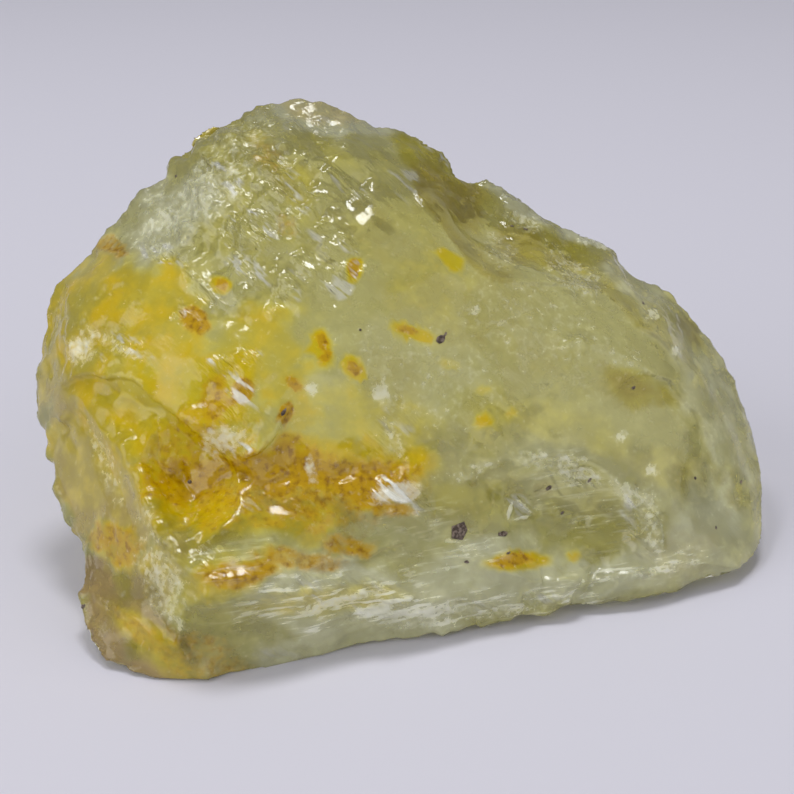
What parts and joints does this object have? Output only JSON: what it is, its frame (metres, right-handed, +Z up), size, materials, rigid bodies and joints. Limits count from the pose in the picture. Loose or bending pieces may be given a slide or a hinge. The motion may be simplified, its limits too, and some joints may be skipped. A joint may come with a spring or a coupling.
{
  "type": "raw quartz chunk",
  "caption": "Rough broken chunk of pale yellow-green see-through quartz with shell-like fractures, lying on a flat break.",
  "frame": {"origin": "middle of the chunk's bounding box, at the height of the surface it rests on", "axes": "+X along the chunk's length, to the right when its broad face is seen; -Y towards the side the broad face slopes down to; +Z up"},
  "size_m": [0.1104, 0.0686, 0.0668],
  "materials": {
    "quartz": "rough broken pale yellow-green quartz, milky see-through, with glossy fractures and yellow iron stains"
  },
  "bodies": {
    "root": {"quartz": "quartz"}
  },
  "joints": []
}
